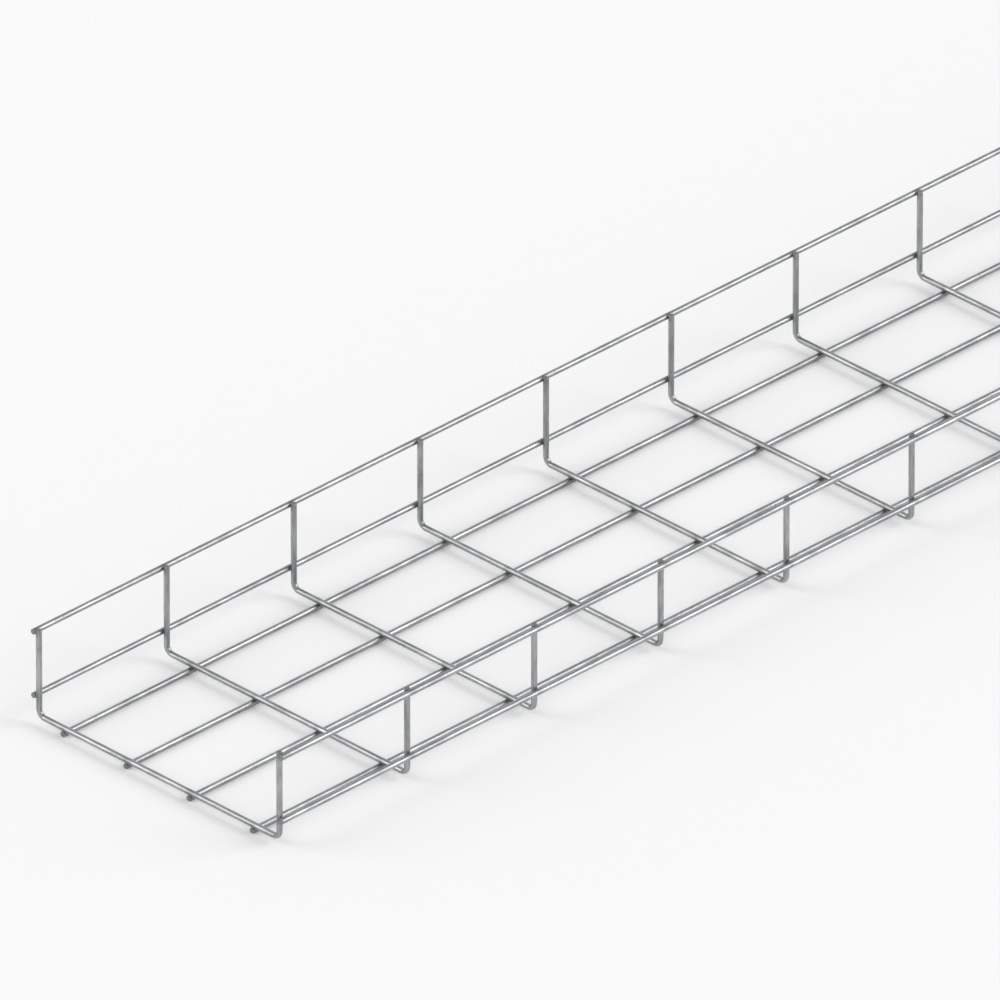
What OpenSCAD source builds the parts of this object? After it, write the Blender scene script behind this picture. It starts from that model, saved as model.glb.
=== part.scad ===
// Wire mesh cable basket: long wires welded to the outside of bent cross wires.
// The basket lies along X. Its origin is on the floor, at the middle of the length and width.

/* [Basket] */
// Outside width, over the edge wires
basket_w = 200; // [100:10:600]
// Outside height, from the underside to the top edge
basket_h = 60; // [40:1:110]
// Number of mesh bays along the length
bays = 30; // [2:1:35]

/* [Mesh] */
// Centre distance of the cross wires
cross_pitch = 100; // [50:5:150]
// Centre distance of the floor wires
floor_pitch = 50; // [40:1:50]
// Centre distance of the side wires, counted down from the edge wire
side_pitch = 41; // [35:1:50]

/* [Wire] */
// Diameter of the long wires
long_wire_d = 3.5; // [3:0.1:6]
// Diameter of the cross wires
cross_wire_d = 3.5; // [3:0.1:6]
// Inside radius of the bends in a cross wire
bend_inside_r = 2.75; // [2:0.25:6]
// Depth that two wires are pressed into each other at a weld
weld_sink = 0.4; // [0.2:0.05:0.8]
// Width of the broken edge round a cut wire end
end_break = 0.25; // [0.1:0.05:0.6]

/* [Hidden] */
$fn = 48;
finish_colour = "silver";

// Centre lines of the wires. A long wire lies outside the cross wires, pressed in by weld_sink.
weld_offset = (long_wire_d + cross_wire_d) / 2 - weld_sink;
side_y = (basket_w - long_wire_d) / 2;
leg_y = side_y - weld_offset;
floor_z = long_wire_d / 2;
cross_z = floor_z + weld_offset;
edge_z = basket_h - long_wire_d / 2;

// A cross wire has a flat floor, two bends and two legs that rise from leg_base_z.
bend_r = bend_inside_r + cross_wire_d / 2;
flat_half = leg_y - bend_r;
leg_base_z = cross_z + bend_r;

mesh_l = bays * cross_pitch;
basket_l = mesh_l + cross_wire_d;

// The floor wires stand in pairs about the middle, as many as the flat floor holds.
floor_pairs = floor((flat_half - long_wire_d / 2) / floor_pitch + 1 / 2);
floor_ys = [for (i = [1 : 2 * floor_pairs]) (i - floor_pairs - 1 / 2) * floor_pitch];

// The edge wire and the side wires below it, as many as the straight leg holds.
side_wires = floor((edge_z - leg_base_z) / side_pitch);
side_zs = [for (i = [0 : side_wires]) edge_z - i * side_pitch];
function side_name(i) = i == 0 ? "edge_wire" : str("side_wire_", i);

// Every long wire as [name, y, z].
LONG_WIRES = concat(
    [for (i = [0 : len(floor_ys) - 1]) [str("floor_wire_", i + 1), floor_ys[i], floor_z]],
    [for (i = [0 : side_wires]) [str(side_name(i), "_right"), -side_y, side_zs[i]]],
    [for (i = [0 : side_wires]) [str(side_name(i), "_left"), side_y, side_zs[i]]]
);

// Every cross wire as [name, x], numbered from the -X end.
CROSS_WIRES = [
    for (i = [0 : bays]) [str("cross_wire_", i < 9 ? "0" : "", i + 1), i * cross_pitch - mesh_l / 2]
];

// A straight bar along +Z from the origin. Its far end is cut square, with a broken edge.
module cut_bar(d, length) {
    cylinder(d = d, h = length - end_break);
    translate([0, 0, length - end_break])
        cylinder(d1 = d, d2 = d - 2 * end_break, h = end_break);
}

// A long wire along X, cut at both ends.
module long_wire(y, z) {
    color(finish_colour)
        translate([0, y, z])
            rotate([0, 90, 0]) {
                cut_bar(long_wire_d, basket_l / 2);
                mirror([0, 0, 1]) cut_bar(long_wire_d, basket_l / 2);
            }
}

// The half of a bent wire on the +Y side: half the floor, the bend and the leg.
module half_cross_wire() {
    translate([0, 0, cross_z])
        rotate([-90, 0, 0])
            cylinder(d = cross_wire_d, h = flat_half);
    translate([0, flat_half, leg_base_z])
        rotate([0, 90, 0])
            rotate_extrude(angle = 90)
                translate([bend_r, 0])
                    circle(d = cross_wire_d);
    translate([0, leg_y, leg_base_z])
        cut_bar(cross_wire_d, basket_h - leg_base_z);
}

// A U-shaped cross wire, seated on every long wire that it is welded to.
module cross_wire(x) {
    color(finish_colour)
        difference() {
            translate([x, 0, 0]) {
                half_cross_wire();
                mirror([0, 1, 0]) half_cross_wire();
            }
            for (w = LONG_WIRES) long_wire(w[1], w[2]);
        }
}

for (w = LONG_WIRES)
    long_wire(w[1], w[2]);
for (w = CROSS_WIRES)
    cross_wire(w[1]);
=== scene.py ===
"""Finish of a welded wire mesh cable basket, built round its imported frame.

The wires are swept meshes with pressed weld seats, electrode flats, bent corners and sheared ends.
Beads of squeezed metal close each weld. The file is laid out as a Blender add-on, and is run as a
script.
"""

import bpy
import numpy as np
from bpy.props import FloatProperty, FloatVectorProperty, IntProperty, PointerProperty
from bpy.types import Operator, Panel, PropertyGroup
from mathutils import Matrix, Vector


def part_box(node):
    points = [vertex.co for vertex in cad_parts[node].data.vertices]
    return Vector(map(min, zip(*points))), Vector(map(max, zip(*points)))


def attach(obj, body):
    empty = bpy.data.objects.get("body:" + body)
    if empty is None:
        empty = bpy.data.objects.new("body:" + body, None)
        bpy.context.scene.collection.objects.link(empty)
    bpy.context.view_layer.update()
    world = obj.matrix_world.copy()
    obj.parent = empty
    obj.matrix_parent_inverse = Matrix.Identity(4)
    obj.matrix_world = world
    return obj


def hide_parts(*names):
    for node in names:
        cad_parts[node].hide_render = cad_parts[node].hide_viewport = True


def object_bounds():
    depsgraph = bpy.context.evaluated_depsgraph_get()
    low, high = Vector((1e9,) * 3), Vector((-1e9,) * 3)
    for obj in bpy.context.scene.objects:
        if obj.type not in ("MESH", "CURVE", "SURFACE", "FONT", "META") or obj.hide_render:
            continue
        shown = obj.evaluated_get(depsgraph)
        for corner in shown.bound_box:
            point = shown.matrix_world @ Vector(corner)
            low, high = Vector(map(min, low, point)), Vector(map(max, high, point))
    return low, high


bl_info = {
    "name": "Wire Mesh Cable Basket",
    "version": (1, 0, 0),
    "blender": (4, 5, 0),
    "location": "3D View > Sidebar > Cable Basket",
    "description": "Drawn wires, weld beads and zinc finish of a welded cable basket",
    "category": "Object",
}

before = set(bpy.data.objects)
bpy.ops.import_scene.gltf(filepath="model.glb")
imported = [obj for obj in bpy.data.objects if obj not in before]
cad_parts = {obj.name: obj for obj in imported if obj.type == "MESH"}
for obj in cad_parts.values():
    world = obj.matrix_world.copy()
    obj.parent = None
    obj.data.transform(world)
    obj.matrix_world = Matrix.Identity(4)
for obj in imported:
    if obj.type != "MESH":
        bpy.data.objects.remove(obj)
CAD_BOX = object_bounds()

BODY = "root"
CROSS_PREFIX = "cross_wire"

X_AXIS, Y_AXIS, Z_AXIS = np.eye(3)
QUARTER, FULL_TURN = np.pi / 2, 2 * np.pi

# Places of a wire's rings beside a weld, their step on a plain stretch and the least step, in wire
# radii.
WELD_RINGS = np.array([0.0, 0.3, 0.55, 0.75, 0.95, 1.25, 1.7, 2.6])
PLAIN_STEP = 16
LEAST_STEP = 0.12
# Places of the rings in a bend, as shares of its arc, and in a broken edge, as shares of its width.
BEND_RINGS = np.linspace(-0.12, 1.12, 13)
EDGE_RINGS = np.array([0.0, 0.15, 0.5, 1.0])
# Length of the slope at each end of an electrode flat, as a share of the flat.
FLAT_SLOPE = 0.2
# Size of the torn middle of a sheared end, as a share of the end, and how far in its rim lies, as a
# share of the hollow.
TORN_SHARE = 0.62
TORN_RIM_DEPTH = 0.4
# Reach of the weld tint in wire radii, its mean strength, and how much that differs round the wire.
TINT_REACH = 1.5
TINT_LEVEL = 0.6
TINT_LEAN = 0.4

# Places of a bead's sections between the rims on its two wires. How deep the rims reach into the
# wires, and the size of the section inside the bead, as shares.
BEAD_SECTIONS = (0.0, 0.25, 0.5, 0.75, 1.0)
BEAD_SINK = 0.008
BEAD_CORE = 0.6
# Waves in a bead's rim, each as its count round the rim and its size.
BEAD_WAVES = ((1, 1.0), (2, 0.7), (5, 0.5))
BEAD_SEED = 11

# Name of each piece's flat map, and the share of a strip that is left free along its edges.
MAP_NAME = "OFBake"
MAP_GAP = 0.03
# Ends of a wire, each as its ring, the step to the next ring, and its place across the map.
WIRE_ENDS = ((0, 1, 0.25), (-1, -1, 0.75))

# Distances along the texture between one wire and the next, so that no two wires look alike.
LONG_WIRE_SHIFT = 7.3
CROSS_WIRE_SHIFT = 3.7
CROSS_WIRE_START = 100.0

# Scales of the textures. Three numbers are along a wire, across it and aside of it.
CLOUD_SCALE = (55.0, 260.0, 260.0)
DRAW_LINE_SCALE = (60.0, 3000.0, 3000.0)
CRYSTAL_SCALE = 1500.0
SHEAR_LINE_SCALE = (1.0, 900.0, 5200.0)
TORN_SCALE = 2400.0
WELD_SCALE = 1700.0
# Height and strength of the relief that the textures give.
CRYSTAL_RELIEF = (0.00004, 0.5)
DRAW_LINE_RELIEF = (0.00006, 0.8)
TORN_RELIEF = (0.00004, 0.6)
SHEAR_LINE_RELIEF = (0.00004, 0.5)
WELD_RELIEF = (0.00005, 0.6)
# Spans of a texture's values, from wide to narrow, which are then spread over another span.
WIDE_SPAN = (0.3, 0.7)
WELD_SPAN = (0.35, 0.65)
CLOUD_SPAN = (0.36, 0.64)
WHOLE_SPAN = (0.0, 1.0)
# Roughness of the surfaces. Draw lines and weld tint add theirs to the plating's, and bends take
# theirs away.
ZINC_ROUGHNESS = (0.30, 0.42)
DRAW_LINE_ROUGHNESS = (-0.03, 0.03)
TINT_ROUGHNESS = (0.0, 0.16)
BEND_POLISH = (0.0, 0.06)
CUT_ROUGHNESS = (0.34, 0.6)
BEAD_ROUGHNESS = (0.42, 0.62)
FLOOR_ROUGHNESS = 0.9
# How unevenly the weld tint takes, and the second tones of cut steel and of a bead, as shares of
# the first.
TINT_TAKE = (0.7, 1.3)
TORN_TONE = 0.6
BEAD_TONE = 1.45

# Soft boxes, each as its direction and its share of the lamp level.
SOFT_BOXES = {
    "soft_box_right": ((0.60, -0.62, 0.50), 1.0),
    "soft_box_left": ((-0.62, 0.60, 0.50), 0.7),
}
BOX_DISTANCE, BOX_SIZE = 60.0, 35.0
FLOOR_REACH = 120.0
# Nearest and farthest point that the camera takes in, as shares of its distance.
CLIP_SHARES = (0.1, 10)


# --- Sizes and colours that a user would change ---------------------------------------------------


class BasketWireSizes(PropertyGroup):
    """Sizes of the bent, pressed and sheared places on the wires"""

    bend_inside: FloatProperty(
        name="Bend Radius",
        description="Inside radius of the two bends in a cross wire",
        default=0.00275, min=0.001, unit="LENGTH",
    )
    bend_thinning: FloatProperty(
        name="Bend Thinning",
        description="Share of its thickness that a wire loses in the plane of a bend",
        default=0.045, min=0.0, max=0.1, subtype="FACTOR",
    )
    end_break: FloatProperty(
        name="End Break",
        description="Width of the broken edge round a sheared wire end",
        default=0.00025, min=0.0, unit="LENGTH",
    )
    end_hollow: FloatProperty(
        name="End Hollow",
        description="Depth to which the torn middle of a sheared end is drawn in",
        default=0.00012, min=0.0, unit="LENGTH",
    )
    flat_depth: FloatProperty(
        name="Electrode Flat Depth",
        description="Depth of the flat that the welding electrode leaves opposite a weld",
        default=0.00011, min=0.0, unit="LENGTH",
    )
    flat_length: FloatProperty(
        name="Electrode Flat Length",
        description="Length of that flat along the wire",
        default=0.0042, min=0.001, unit="LENGTH",
    )
    sides: IntProperty(
        name="Wire Sides",
        description="Number of faces round a wire",
        default=24, min=8, max=48,
    )


class BasketBeadSizes(PropertyGroup):
    """Sizes of the bead of metal that is squeezed out round a weld"""

    seam_reach: FloatProperty(
        name="Seam Reach",
        description="Distance along the wire from the middle of a weld to where the two wires part",
        default=0.00118, min=0.0002, unit="LENGTH",
    )
    rim_reach: FloatProperty(
        name="Rim Reach",
        description="Distance along the wire from the middle of a weld to the rim of its bead",
        default=0.0018, min=0.0004, unit="LENGTH",
    )
    unevenness: FloatProperty(
        name="Unevenness",
        description="Share by which the rim of a bead wanders",
        default=0.12, min=0.0, max=0.3, subtype="FACTOR",
    )
    segments: IntProperty(
        name="Bead Segments",
        description="Number of faces round a bead",
        default=22, min=8, max=48,
    )


class BasketFinish(PropertyGroup):
    """Colours of the zinc plated wire"""

    zinc: FloatVectorProperty(
        name="Zinc",
        description="Colour of the clean zinc plating",
        default=(0.44, 0.452, 0.465), size=3, min=0.0, max=1.0, subtype="COLOR",
    )
    cloud: FloatVectorProperty(
        name="Zinc Cloud",
        description="Colour of the duller patches in the plating",
        default=(0.28, 0.289, 0.30), size=3, min=0.0, max=1.0, subtype="COLOR",
    )
    weld_tint: FloatVectorProperty(
        name="Weld Tint",
        description="Colour of the plating round a weld",
        default=(0.17, 0.165, 0.16), size=3, min=0.0, max=1.0, subtype="COLOR",
    )
    cut_steel: FloatVectorProperty(
        name="Cut Steel",
        description="Colour of a sheared wire end",
        default=(0.33, 0.325, 0.32), size=3, min=0.0, max=1.0, subtype="COLOR",
    )


class BasketStudio(PropertyGroup):
    """Floor, lamps and camera"""

    floor_colour: FloatVectorProperty(
        name="Floor",
        description="Colour of the studio floor",
        default=(0.97, 0.97, 0.97), size=3, min=0.0, max=1.0, subtype="COLOR",
    )
    horizon_strength: FloatProperty(
        name="Horizon Strength",
        description="Strength of the sky at the horizon",
        default=1.0, min=0.0,
    )
    zenith_strength: FloatProperty(
        name="Zenith Strength",
        description="Strength of the sky overhead",
        default=0.5, min=0.0,
    )
    lamp_radiance: FloatProperty(
        name="Soft Box Level",
        description="Brightness of the soft boxes",
        default=3.8, min=0.0,
    )
    azimuth: FloatProperty(
        name="Azimuth",
        description="Direction of view, turned from the Y axis",
        default=-0.7853982, subtype="ANGLE",
    )
    elevation: FloatProperty(
        name="Elevation",
        description="Height of the camera above the horizon",
        default=0.5235988, subtype="ANGLE",
    )
    span: FloatProperty(
        name="View Span",
        description="Width that the camera sees at the point it is aimed at",
        default=0.5627, min=0.05, unit="LENGTH",
    )
    lens: FloatProperty(
        name="Lens",
        description="Focal length, long enough for an almost parallel view",
        default=1600.0, min=50.0, unit="CAMERA",
    )
    aim_along: FloatProperty(
        name="Aim Along",
        description="Distance of the aimed point from the first cross wire, along the basket",
        default=0.3577, unit="LENGTH",
    )
    aim_aside: FloatProperty(
        name="Aim Aside",
        description="Distance of the aimed point from the middle of the width",
        default=0.0895, unit="LENGTH",
    )


# --- The wires, as the frame gives them -----------------------------------------------------------


class LongWire:
    """A straight wire along X. Its inner side is the one that the cross wires lie on."""

    def __init__(self, node):
        low, high = (np.array(corner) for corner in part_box(node))
        self.node = node
        self.radius = (high[2] - low[2]) / 2
        self.start_x, self.length = low[0], high[0] - low[0]
        self.y, self.z = (low[1] + high[1]) / 2, (low[2] + high[2]) / 2
        self.on_floor = low[2] < self.radius
        self.inward = Z_AXIS if self.on_floor else -np.sign(self.y) * Y_AXIS

    def place(self, s):
        """Centre line, direction of the inner side, direction beside it and share of bending.

        s holds distances along the wire.
        """
        y, z = np.full_like(s, self.y), np.full_like(s, self.z)
        centres = np.column_stack([self.start_x + s, y, z])
        inner = np.tile(self.inward, (len(s), 1))
        beside = np.tile(np.cross(X_AXIS, self.inward), (len(s), 1))
        return centres, inner, beside, np.zeros_like(s)

    def weld_places(self, others):
        """Where the cross wires lie along this wire."""
        return np.array([other.x - self.start_x for other in others])


class CrossWire:
    """A wire bent to a U, from the top of the right leg, through the floor, to that of the left."""

    def __init__(self, node, bend_inside):
        low, high = (np.array(corner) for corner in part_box(node))
        self.node = node
        self.radius = (high[0] - low[0]) / 2
        self.x = (low[0] + high[0]) / 2
        self.floor_z = low[2] + self.radius
        self.top_z = high[2]
        self.leg_y = high[1] - self.radius
        self.bend = bend_inside + self.radius
        self.leg = self.top_z - self.floor_z - self.bend
        self.arc = self.bend * QUARTER
        self.floor_half = self.leg_y - self.bend
        self.length = 2 * (self.leg + self.arc + self.floor_half)

    def place(self, s):
        """Centre line, direction of the inner side, direction beside it and share of bending.

        s holds distances along the wire.
        """
        half = self.length / 2
        out = np.abs(s - half)
        side = np.where(s < half, -1.0, 1.0)
        turned = np.clip((out - self.floor_half) / self.arc, 0, 1) * QUARTER
        up = np.clip(out - self.floor_half - self.arc, 0, None)
        y = side * (np.minimum(out, self.floor_half) + self.bend * np.sin(turned))
        z = self.floor_z + self.bend * (1 - np.cos(turned)) + up
        centres = np.column_stack([np.full_like(s, self.x), y, z])
        inner = np.column_stack([np.zeros_like(s), -side * np.sin(turned), np.cos(turned)])
        beside = np.tile(X_AXIS, (len(s), 1))
        past_bend_ends = np.minimum(out - self.floor_half, self.floor_half + self.arc - out)
        return centres, inner, beside, smooth_step(0.5 + past_bend_ends / self.radius)

    def weld_places(self, others):
        """Where the long wires lie along this wire."""
        half = self.length / 2
        places = []
        for other in others:
            if other.on_floor:
                places.append(half + other.y)
            else:
                places.append(half + np.sign(other.y) * (half - (self.top_z - other.z)))
        return np.array(places)

    def weld_point(self, other):
        """The point of this wire's centre line where it crosses a long wire."""
        if other.on_floor:
            return np.array([self.x, other.y, self.floor_z])
        return np.array([self.x, np.sign(other.y) * self.leg_y, other.z])


def wire_nodes(crossing):
    """Names of the frame's cross wires, or else of its long wires, in order."""
    names = [name for name in sorted(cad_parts) if name.startswith(CROSS_PREFIX) == crossing]
    if not names:
        raise RuntimeError("The frame lacks the long wires or the cross wires")
    return names


def long_wires():
    """The floor, side and edge wires."""
    return [LongWire(name) for name in wire_nodes(crossing=False)]


def cross_wires():
    """The bent wires, from the first one on."""
    bend_inside = bpy.context.scene.basket_wires.bend_inside
    return [CrossWire(name, bend_inside) for name in wire_nodes(crossing=True)]


# --- Mesh code ------------------------------------------------------------------------------------


def smooth_step(t):
    """A smooth rise from 0 to 1 as t goes from 0 to 1."""
    t = np.clip(t, 0.0, 1.0)
    return t * t * (3 - 2 * t)


def grid_faces(rows, columns, first=0, ring=False):
    """Four-sided faces over a grid of points. Its rows are closed, and a ring's columns are too."""
    grid = first + np.arange(rows * columns).reshape(rows, columns)
    ahead = np.roll(grid, -1, axis=1)
    faces = np.stack([grid, ahead, np.roll(ahead, -1, axis=0), np.roll(grid, -1, axis=0)], axis=-1)
    return (faces if ring else faces[:-1]).reshape(-1, 4).tolist()


def strip_corners(starts, ends, bases, height, columns):
    """Map places of the corners of grid_faces. A row of faces is one step along a strip."""
    high = bases[:, None] + height * (1 - np.arange(columns) / columns)
    low = high - height / columns
    left, right = (np.repeat(side[:, None], columns, axis=1) for side in (starts, ends))
    corners = [(left, high), (left, low), (right, low), (right, high)]
    return np.stack([np.stack(corner, axis=-1) for corner in corners], axis=2).reshape(-1, 2)


def build_piece(name, points, faces, kinds, flat_map, attributes, materials):
    """A mesh object that rides on the basket. kinds number the faces' materials; 0 is smooth."""
    mesh = bpy.data.meshes.new(name)
    mesh.from_pydata(points.tolist(), [], faces)
    layer = mesh.uv_layers.new(name=MAP_NAME)
    layer.uv.foreach_set("vector", flat_map.astype(np.float32).ravel())
    mesh.polygons.foreach_set("material_index", np.array(kinds, np.int32))
    mesh.polygons.foreach_set("use_smooth", np.array(kinds) == 0)
    for label, values in attributes.items():
        kind, field = ("FLOAT_VECTOR", "vector") if values.ndim == 2 else ("FLOAT", "value")
        attribute = mesh.attributes.new(label, kind, "POINT")
        attribute.data.foreach_set(field, values.astype(np.float32).ravel())
    for material in materials:
        mesh.materials.append(material)
    mesh.update()
    piece = bpy.data.objects.new(name, mesh)
    bpy.context.scene.collection.objects.link(piece)
    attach(piece, BODY)
    return piece


def ring_places(wire, welds, sizes):
    """Where a wire's rings go: close together at broken ends and welds, and even in the bends."""
    around_weld = np.concatenate([-WELD_RINGS, WELD_RINGS]) * wire.radius
    marks = [weld + place for weld in welds for place in around_weld]
    marks += list(np.linspace(0, wire.length, int(wire.length / (PLAIN_STEP * wire.radius)) + 2))
    if isinstance(wire, CrossWire):
        bend_marks = wire.floor_half + BEND_RINGS * wire.arc
        marks += [wire.length / 2 + side * mark for mark in bend_marks for side in (-1, 1)]
    edge = sizes.end_break * EDGE_RINGS
    clear = edge[-1] + LEAST_STEP * wire.radius
    kept = [clear]
    for mark in sorted(marks):
        if mark <= wire.length - clear and mark - kept[-1] > LEAST_STEP * wire.radius:
            kept.append(mark)
    return np.concatenate([edge, kept, wire.length - edge[::-1]])


def wire_sections(wire, s, gap, seats, flat_sign, turn):
    """Each ring's points as distances across and aside of the centre line, across being inward."""
    sizes = bpy.context.scene.basket_wires
    _, _, _, bent = wire.place(s)
    depth = np.minimum(s, wire.length - s)
    edge = np.clip(1 - depth / sizes.end_break, 0, 1)
    radius = wire.radius - sizes.end_break * (1 - np.sqrt(1 - edge**2))
    across = np.outer(radius * (1 - sizes.bend_thinning * bent), np.cos(turn))
    aside = np.outer(radius, np.sin(turn))

    slope = FLAT_SLOPE * sizes.flat_length
    pressed = smooth_step((sizes.flat_length / 2 - gap) / slope)
    flat = wire.radius - sizes.flat_depth * pressed
    limited = np.minimum(flat_sign * across, flat[:, None])
    if seats:
        seat_gap, seat_radius = seats
        inside = np.clip(1 - (gap / seat_radius) ** 2, 0, None)
        seat = np.where(inside > 0, seat_gap - seat_radius * np.sqrt(inside), wire.radius)
        limited = np.maximum(limited, -seat[:, None])
    return flat_sign * limited, aside


def wire_map(wire, s, sides):
    """Map places of a wire's faces, and the height of a strip.

    Stretches of the wire lie one above the other, so that the map is about as fine along the wire
    as round it.
    """
    strips = max(1, round(np.sqrt(wire.length / (FULL_TURN * wire.radius))))
    height = 1 / (strips + 1)
    gap = MAP_GAP * height
    cuts = np.append(np.searchsorted(s, np.arange(strips) * wire.length / strips), len(s) - 1)
    strip = np.searchsorted(cuts, np.arange(len(s) - 1), side="right") - 1
    begin, end = s[cuts[strip]], s[cuts[strip + 1]]
    starts, ends = (gap + (1 - 2 * gap) * (at - begin) / (end - begin) for at in (s[:-1], s[1:]))
    return strip_corners(starts, ends, strip * height + gap, height - 2 * gap, sides), height


def sheared_end_faces(sides, step):
    """Faces of a wire's end over its rim, its waist and its middle, numbered in that order.

    step is 1 at the start of the wire, and -1 at its other end.
    """
    faces = []
    for k in range(sides):
        after = (k + 1) % sides
        outer = [k, after, sides + after, sides + k]
        core = [sides + k, sides + after, 2 * sides]
        faces += [outer[::-step], core[::-step]]
    return faces


def sheared_end_points(rings, centres, run, row, step):
    """The waist and the middle of a wire's end, as points and as places along the texture."""
    into = centres[row + step] - centres[row]
    into *= bpy.context.scene.basket_wires.end_hollow / np.linalg.norm(into)
    middle = rings[row].mean(axis=0)
    waist = middle + TORN_SHARE * (rings[row] - middle) + TORN_RIM_DEPTH * into
    waist_run = run[row] * [1, TORN_SHARE, TORN_SHARE]
    middle_run = run[row].mean(axis=0)
    return np.concatenate([waist, [middle + into]]), np.concatenate([waist_run, [middle_run]])


def sheared_end_map(around, faces, place, height):
    """Map places of the faces of a wire's end, which is a disc in the strip above the others."""
    disc = np.concatenate([around, TORN_SHARE * around, [[0, 0]]]) * (1 - 2 * MAP_GAP)
    on_map = [place, 1 - height / 2] + height * disc
    return [on_map[face] for face in faces]


def sweep_wire(wire, welds, seats, flat_sign, shift):
    """Points, faces, face kinds, map and attributes of a wire.

    welds are places along the wire. seats gives the distance of the crossing wires' centre lines
    and their radius, where this wire is pressed in. flat_sign is 1 for electrode flats on the inner
    side, or else -1.
    """
    sizes = bpy.context.scene.basket_wires
    turn = np.arange(sizes.sides) * FULL_TURN / sizes.sides
    s = ring_places(wire, welds, sizes)
    gap = np.abs(s[:, None] - welds[None, :]).min(axis=1)
    centres, inner, beside, bent = wire.place(s)
    across, aside = wire_sections(wire, s, gap, seats, flat_sign, turn)
    rings = centres[:, None] + across[..., None] * inner[:, None]
    rings += aside[..., None] * beside[:, None]

    run = np.stack([np.repeat(s[:, None] + shift, sizes.sides, axis=1), across, aside], axis=-1)
    tint_round = TINT_LEVEL - TINT_LEAN * flat_sign * np.cos(turn)
    heat = np.outer(np.exp(-((gap / (TINT_REACH * wire.radius)) ** 2)), tint_round)
    bend = np.repeat(bent[:, None], sizes.sides, axis=1)
    points, runs = [rings.reshape(-1, 3)], [run.reshape(-1, 3)]

    faces = grid_faces(len(s), sizes.sides)
    kinds = [0] * len(faces)
    side_map, height = wire_map(wire, s, sizes.sides)
    flat_map = [side_map]
    for row, step, place in WIRE_ENDS:
        first = sum(len(part) for part in points)
        end_points, end_run = sheared_end_points(rings, centres, run, row, step)
        points.append(end_points)
        runs.append(end_run)
        rim = (row % len(s)) * sizes.sides + np.arange(sizes.sides)
        numbers = np.concatenate([rim, first + np.arange(sizes.sides + 1)])
        end_faces = sheared_end_faces(sizes.sides, step)
        faces += [numbers[face].tolist() for face in end_faces]
        kinds += [1] * len(end_faces)
        around = np.column_stack([-step * across[row], aside[row]]) / (2 * wire.radius)
        flat_map += sheared_end_map(around, end_faces, place, height)

    untouched = np.zeros(len(WIRE_ENDS) * (sizes.sides + 1))
    attributes = {
        "wire_run": np.concatenate(runs),
        "weld_heat": np.concatenate([heat.ravel(), untouched]),
        "bend_mark": np.concatenate([bend.ravel(), untouched]),
    }
    return np.concatenate(points), faces, kinds, np.concatenate(flat_map), attributes


def bead_rim_share(chance, turn):
    """How far a bead's rim reaches at each angle, as a share of its mean reach."""
    sizes = bpy.context.scene.basket_beads
    phases = chance.uniform(0, FULL_TURN, len(BEAD_WAVES))
    waves = total = 0
    for (count, size), phase in zip(BEAD_WAVES, phases):
        waves = waves + size * np.sin(count * turn + phase)
        total += size
    return 1 + sizes.unevenness * waves / total


def bead_sections(long_wire, cross_wire, turn, rim_share):
    """Points of one bead, as closed lines round the weld. The last one lies inside the bead."""
    sizes = bpy.context.scene.basket_beads
    normal = long_wire.inward
    along, across = X_AXIS, np.cross(normal, X_AXIS)

    def wrapped(centre, radius, up, lengthwise, axis, sideways, side):
        """A line on a wire, from distances along its axis and distances round it, to its side."""
        sunk = radius * (1 - BEAD_SINK)
        rolled = sideways / radius
        rise = np.outer(np.cos(rolled), up) + np.outer(np.sin(rolled), side)
        return centre + np.outer(lengthwise, axis) + sunk * rise

    def on_long(reach):
        """A line on the long wire, at a distance round the weld."""
        centre = np.array([cross_wire.x, long_wire.y, long_wire.z])
        x, y = reach * np.cos(turn), reach * np.sin(turn)
        return wrapped(centre, long_wire.radius, normal, x, along, y, across)

    def on_cross(reach):
        """A line on the cross wire, at a distance round the weld."""
        centre = cross_wire.weld_point(long_wire)
        x, y = reach * np.cos(turn), reach * np.sin(turn)
        return wrapped(centre, cross_wire.radius, -normal, y, across, x, along)

    def between(reach):
        """The line halfway between those two."""
        return (on_long(reach) + on_cross(reach)) / 2

    low, high = on_long(sizes.rim_reach * rim_share), on_cross(sizes.rim_reach * rim_share[::-1])
    seam = between(sizes.seam_reach)
    sections = [(1 - t) ** 2 * low + 2 * t * (1 - t) * seam + t**2 * high for t in BEAD_SECTIONS]
    return np.clip(np.stack([*sections, between(BEAD_CORE * sizes.seam_reach)]), *CAD_BOX)


def bead_map(beads, sections, segments):
    """Map places of the faces of all beads of a wire, each bead in a cell of its own."""
    cells = int(np.ceil(np.sqrt(beads)))
    bead, section = np.divmod(np.arange(beads * sections), sections)
    used = 1 - 2 * MAP_GAP
    starts = (bead % cells + MAP_GAP + used * section / sections) / cells
    bases = (bead // cells + MAP_GAP) / cells
    return strip_corners(starts, starts + used / sections / cells, bases, used / cells, segments)


# --- Materials ------------------------------------------------------------------------------------


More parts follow.
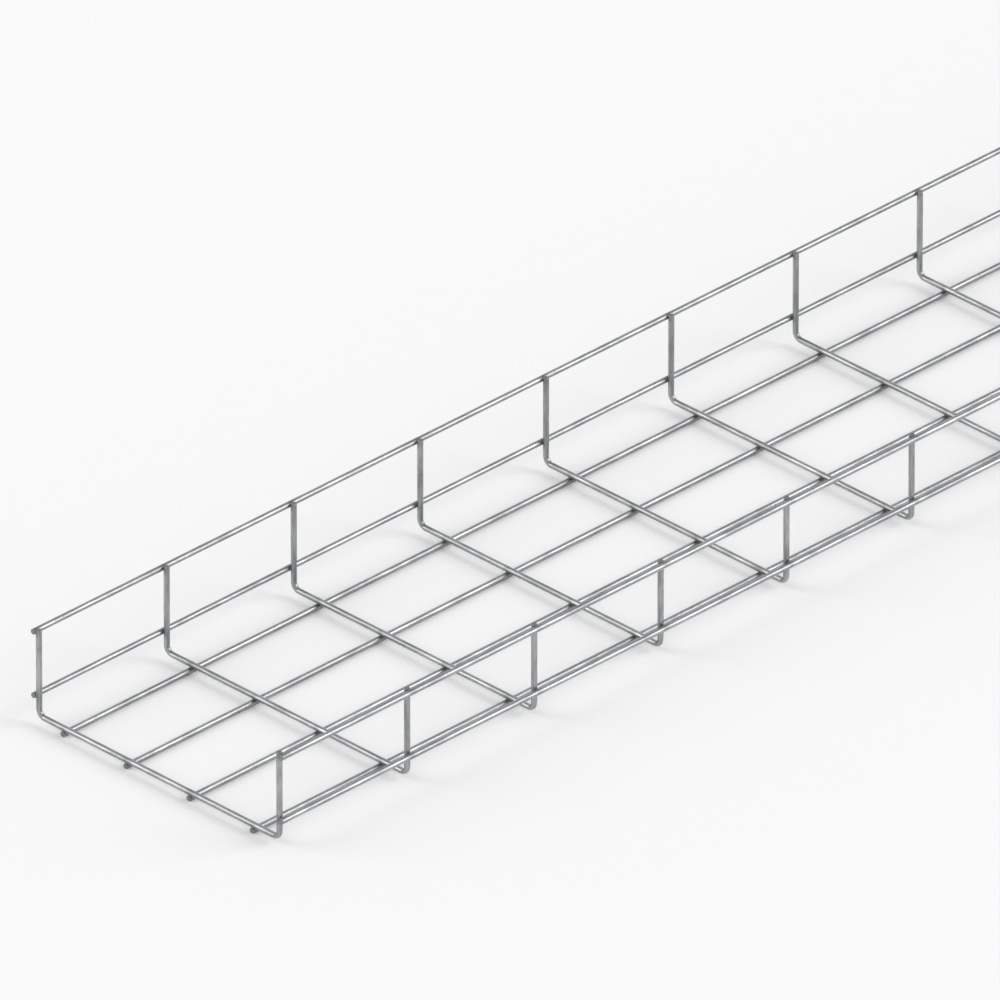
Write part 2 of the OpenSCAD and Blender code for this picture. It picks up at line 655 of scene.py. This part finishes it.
class NodeSheet:
    """Short calls for building one material's nodes."""

    def __init__(self, name):
        self.material = bpy.data.materials.new(name)
        self.material.use_nodes = True
        self.nodes = self.material.node_tree.nodes
        self.links = self.material.node_tree.links
        self.shader = self.nodes["Principled BSDF"]

    def add(self, kind, **settings):
        """A new node with these settings."""
        node = self.nodes.new(kind)
        for key, value in settings.items():
            setattr(node, key, value)
        return node

    def join(self, source, target):
        self.links.new(source, target)

    def attribute(self, label, output):
        """One of a mesh attribute's outputs."""
        return self.add("ShaderNodeAttribute", attribute_name=label).outputs[output]

    def noise(self, coordinates, scale, detail=3.0, roughness=0.55):
        """A noise texture, whose values lie between 0 and 1."""
        node = self.add("ShaderNodeTexNoise")
        node.inputs["Scale"].default_value = scale
        node.inputs["Detail"].default_value = detail
        node.inputs["Roughness"].default_value = roughness
        self.join(coordinates, node.inputs["Vector"])
        return node.outputs["Fac"]

    def stretched(self, coordinates, scale):
        """Coordinates scaled by a number of their own in each direction."""
        node = self.add("ShaderNodeMapping")
        node.inputs["Scale"].default_value = scale
        self.join(coordinates, node.inputs["Vector"])
        return node.outputs["Vector"]

    def spread(self, value, span, onto):
        """A value whose first span is spread over the second one."""
        node = self.add("ShaderNodeMapRange")
        for label, number in zip(("From Min", "From Max", "To Min", "To Max"), (*span, *onto)):
            node.inputs[label].default_value = number
        self.join(value, node.inputs["Value"])
        return node.outputs["Result"]

    def math(self, operation, first, second):
        """Two sockets joined by one operation."""
        node = self.add("ShaderNodeMath", operation=operation)
        for socket, value in zip(node.inputs, (first, second)):
            self.join(value, socket)
        return node.outputs["Value"]

    def blend(self, share, first, second):
        """A mix of two colours, each given as a colour or a socket."""
        node = self.add("ShaderNodeMix", data_type="RGBA")
        self.join(share, node.inputs["Factor"])
        for label, value in (("A", first), ("B", second)):
            socket = next(i for i in node.inputs if i.name == label and i.type == "RGBA")
            if isinstance(value, bpy.types.NodeSocket):
                self.join(value, socket)
            else:
                socket.default_value = (*value, 1.0)
        return next(o for o in node.outputs if o.type == "RGBA")

    def bump(self, height, relief, under=None):
        """Relief as its height and strength, over the relief under it."""
        node = self.add("ShaderNodeBump")
        node.inputs["Distance"].default_value, node.inputs["Strength"].default_value = relief
        self.join(height, node.inputs["Height"])
        if under:
            self.join(under, node.inputs["Normal"])
        return node.outputs["Normal"]

    def metal(self, colour, roughness, normal):
        """The finished material, as a metal with these sockets."""
        for label, socket in (("Base Color", colour), ("Roughness", roughness), ("Normal", normal)):
            self.join(socket, self.shader.inputs[label])
        self.shader.inputs["Metallic"].default_value = 1.0
        return self.material


def drawn_zinc_material():
    """Zinc plating on drawn wire: cloudy tone, draw lines, fine crystals and dull tint at welds."""
    finish = bpy.context.scene.basket_finish
    sheet = NodeSheet("drawn_zinc")
    run = sheet.attribute("wire_run", "Vector")
    heat = sheet.attribute("weld_heat", "Fac")
    bend = sheet.attribute("bend_mark", "Fac")
    clouds = sheet.noise(sheet.stretched(run, CLOUD_SCALE), 1.0, detail=5.0, roughness=0.65)
    lines = sheet.noise(sheet.stretched(run, DRAW_LINE_SCALE), 1.0)
    crystals = sheet.noise(run, CRYSTAL_SCALE, detail=2.0)

    tone = sheet.spread(clouds, CLOUD_SPAN, WHOLE_SPAN)
    plated = sheet.blend(tone, finish.zinc, finish.cloud)
    ragged = sheet.math("MULTIPLY", heat, sheet.spread(crystals, WIDE_SPAN, TINT_TAKE))
    colour = sheet.blend(ragged, plated, finish.weld_tint)

    dull = sheet.spread(clouds, WIDE_SPAN, ZINC_ROUGHNESS)
    dull = sheet.math("ADD", dull, sheet.spread(lines, WIDE_SPAN, DRAW_LINE_ROUGHNESS))
    dull = sheet.math("ADD", dull, sheet.spread(heat, WHOLE_SPAN, TINT_ROUGHNESS))
    dull = sheet.math("SUBTRACT", dull, sheet.spread(bend, WHOLE_SPAN, BEND_POLISH))

    relief = sheet.bump(lines, DRAW_LINE_RELIEF, sheet.bump(crystals, CRYSTAL_RELIEF))
    return sheet.metal(colour, dull, relief)


def sheared_end_material():
    """The cut end of a wire: a smooth rim and a torn middle."""
    finish = bpy.context.scene.basket_finish
    sheet = NodeSheet("sheared_end")
    run = sheet.attribute("wire_run", "Vector")
    shear_lines = sheet.noise(sheet.stretched(run, SHEAR_LINE_SCALE), 1.0)
    torn = sheet.noise(run, TORN_SCALE, detail=4.0)
    tone = sheet.spread(torn, WIDE_SPAN, WHOLE_SPAN)
    dark = tuple(TORN_TONE * c for c in finish.cut_steel)
    colour = sheet.blend(tone, finish.cut_steel, dark)
    dull = sheet.spread(torn, WIDE_SPAN, CUT_ROUGHNESS)
    relief = sheet.bump(shear_lines, SHEAR_LINE_RELIEF, sheet.bump(torn, TORN_RELIEF))
    return sheet.metal(colour, dull, relief)


def weld_bead_material():
    """Squeezed weld metal: darker, dull and slightly scaly under the plating."""
    finish = bpy.context.scene.basket_finish
    sheet = NodeSheet("weld_bead")
    place = sheet.add("ShaderNodeTexCoord").outputs["Object"]
    scaly = sheet.noise(place, WELD_SCALE)
    pale = tuple(BEAD_TONE * c for c in finish.weld_tint)
    tone = sheet.spread(scaly, WELD_SPAN, WHOLE_SPAN)
    colour = sheet.blend(tone, finish.weld_tint, pale)
    dull = sheet.spread(scaly, WIDE_SPAN, BEAD_ROUGHNESS)
    return sheet.metal(colour, dull, sheet.bump(scaly, WELD_RELIEF))


def finish_material(name, make):
    """The material of that name, made once."""
    return bpy.data.materials.get(name) or make()


def wire_materials():
    """The materials of a wire's side and of its ends, in the order of the face kinds."""
    return [
        finish_material("drawn_zinc", drawn_zinc_material),
        finish_material("sheared_end", sheared_end_material),
    ]


# --- Operators ------------------------------------------------------------------------------------


class BASKET_OT_long_wires(Operator):
    """Sweep the floor, side and edge wires, with their electrode flats and sheared ends"""

    bl_idname = "basket.long_wires"
    bl_label = "Long Wires"

    def execute(self, context):
        others = cross_wires()
        for number, wire in enumerate(long_wires()):
            shape = sweep_wire(wire, wire.weld_places(others), None, -1, LONG_WIRE_SHIFT * number)
            piece = build_piece("drawn_" + wire.node, *shape, wire_materials())
            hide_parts(wire.node)
        return {"FINISHED"}


class BASKET_OT_cross_wires(Operator):
    """Sweep the cross wires, with their bends, weld seats, electrode flats and sheared ends"""

    bl_idname = "basket.cross_wires"
    bl_label = "Cross Wires"

    def execute(self, context):
        others = long_wires()
        for number, wire in enumerate(cross_wires()):
            other = others[0]
            seat_gap = np.linalg.norm(wire.weld_point(other) - [wire.x, other.y, other.z])
            seats = (seat_gap, other.radius)
            shift = CROSS_WIRE_START + CROSS_WIRE_SHIFT * number
            shape = sweep_wire(wire, wire.weld_places(others), seats, 1, shift)
            piece = build_piece("bent_" + wire.node, *shape, wire_materials())
            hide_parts(wire.node)
        return {"FINISHED"}


class BASKET_OT_weld_beads(Operator):
    """Put a bead of squeezed metal round each weld, joined into one piece for each long wire"""

    bl_idname = "basket.weld_beads"
    bl_label = "Weld Beads"

    def execute(self, context):
        segments = context.scene.basket_beads.segments
        turn = np.arange(segments) * FULL_TURN / segments
        chance = np.random.default_rng(BEAD_SEED)
        material = finish_material("weld_bead", weld_bead_material)
        crossing = cross_wires()
        for wire in long_wires():
            beads, faces = [], []
            for number, other in enumerate(crossing):
                bead = bead_sections(wire, other, turn, bead_rim_share(chance, turn))
                beads.append(bead)
                faces += grid_faces(len(bead), segments, number * len(bead) * segments, ring=True)
            points = np.concatenate(beads).reshape(-1, 3)
            flat_map = bead_map(len(beads), len(beads[0]), segments)
            kinds = [0] * len(faces)
            build_piece("weld_beads_" + wire.node, points, faces, kinds, flat_map, {}, [material])
        return {"FINISHED"}


class BASKET_OT_studio(Operator):
    """Set up the pale floor, the sky, the soft boxes and the camera"""

    bl_idname = "basket.studio"
    bl_label = "Studio"

    def execute(self, context):
        studio = context.scene.basket_studio
        self.floor(studio)
        self.sky(context.scene, studio)
        for name, (direction, share) in SOFT_BOXES.items():
            self.soft_box(name, direction, share * studio.lamp_radiance)
        self.camera(context.scene, studio)
        context.scene.view_settings.view_transform = "Standard"
        return {"FINISHED"}

    def floor(self, studio):
        """A matt floor, wide enough to fill every view."""
        mesh = bpy.data.meshes.new("studio_floor")
        directions = ((-1, -1), (1, -1), (1, 1), (-1, 1))
        corners = [(x * FLOOR_REACH, y * FLOOR_REACH, 0) for x, y in directions]
        mesh.from_pydata(corners, [], [(0, 1, 2, 3)])
        sheet = NodeSheet("studio_floor")
        sheet.shader.inputs["Base Color"].default_value = (*studio.floor_colour, 1.0)
        sheet.shader.inputs["Roughness"].default_value = FLOOR_ROUGHNESS
        sheet.shader.inputs["Specular IOR Level"].default_value = 0.0
        mesh.materials.append(sheet.material)
        floor = bpy.data.objects.new("studio_floor", mesh)
        bpy.context.scene.collection.objects.link(floor)

    def sky(self, scene, studio):
        """A white sky, brightest at the horizon."""
        world = bpy.data.worlds.new("studio_sky")
        world.use_nodes = True
        scene.world = world
        nodes, links = world.node_tree.nodes, world.node_tree.links
        direction = nodes.new("ShaderNodeTexCoord").outputs["Generated"]
        split = nodes.new("ShaderNodeSeparateXYZ")
        level = nodes.new("ShaderNodeMapRange")
        level.inputs["To Min"].default_value = studio.horizon_strength
        level.inputs["To Max"].default_value = studio.zenith_strength
        links.new(direction, split.inputs["Vector"])
        links.new(split.outputs["Z"], level.inputs["Value"])
        links.new(level.outputs["Result"], nodes["Background"].inputs["Strength"])
        nodes["Background"].inputs["Color"].default_value = (1.0, 1.0, 1.0, 1.0)

    def soft_box(self, name, direction, radiance):
        """A square lamp that faces the middle of the basket."""
        lamp = bpy.data.lights.new(name, "AREA")
        lamp.shape = "SQUARE"
        lamp.size = BOX_SIZE
        lamp.energy = radiance * np.pi * BOX_SIZE**2
        box = bpy.data.objects.new(name, lamp)
        towards = Vector(direction).normalized()
        box.location = towards * BOX_DISTANCE
        box.rotation_mode = "QUATERNION"
        box.rotation_quaternion = towards.to_track_quat("Z", "Y")
        box.visible_camera = False
        bpy.context.scene.collection.objects.link(box)

    def camera(self, scene, studio):
        """A camera with a long lens, aimed at a point on the floor."""
        low, _ = CAD_BOX
        first_cross = low.x + cross_wires()[0].radius
        aim = Vector((first_cross + studio.aim_along, studio.aim_aside, low.z))
        data = bpy.data.cameras.new("studio_camera")
        data.lens = studio.lens
        level = np.cos(studio.elevation)
        back_x, back_y = np.sin(studio.azimuth) * level, -np.cos(studio.azimuth) * level
        back = Vector((back_x, back_y, np.sin(studio.elevation)))
        distance = studio.span * data.lens / data.sensor_width
        data.clip_start, data.clip_end = (share * distance for share in CLIP_SHARES)
        camera = bpy.data.objects.new("studio_camera", data)
        camera.location = aim + back * distance
        camera.rotation_mode = "QUATERNION"
        camera.rotation_quaternion = (-back).to_track_quat("-Z", "Y")
        scene.collection.objects.link(camera)
        scene.camera = camera


class BASKET_PT_sidebar(Panel):
    """Sizes, colours and steps of the cable basket"""

    bl_idname = "BASKET_PT_sidebar"
    bl_label = "Cable Basket"
    bl_space_type = "VIEW_3D"
    bl_region_type = "UI"
    bl_category = "Cable Basket"

    def draw(self, context):
        for group_name in GROUPS:
            group = getattr(context.scene, group_name)
            box = self.layout.box()
            for label in group.bl_rna.properties.keys():
                if label not in {"rna_type", "name"}:
                    box.prop(group, label)
        for step in STEPS:
            self.layout.operator(step.bl_idname)


# --- Registration ---------------------------------------------------------------------------------

GROUPS = {
    "basket_wires": BasketWireSizes,
    "basket_beads": BasketBeadSizes,
    "basket_finish": BasketFinish,
    "basket_studio": BasketStudio,
}
STEPS = (BASKET_OT_long_wires, BASKET_OT_cross_wires, BASKET_OT_weld_beads, BASKET_OT_studio)
CLASSES = (*GROUPS.values(), *STEPS, BASKET_PT_sidebar)


def register():
    for cls in CLASSES:
        bpy.utils.register_class(cls)
    for label, group in GROUPS.items():
        setattr(bpy.types.Scene, label, PointerProperty(type=group))


def unregister():
    for label in GROUPS:
        delattr(bpy.types.Scene, label)
    for cls in reversed(CLASSES):
        bpy.utils.unregister_class(cls)


def main():
    register()
    bpy.ops.basket.long_wires()
    bpy.ops.basket.cross_wires()
    bpy.ops.basket.weld_beads()
    bpy.ops.basket.studio()


if __name__ == "__main__":
    main()
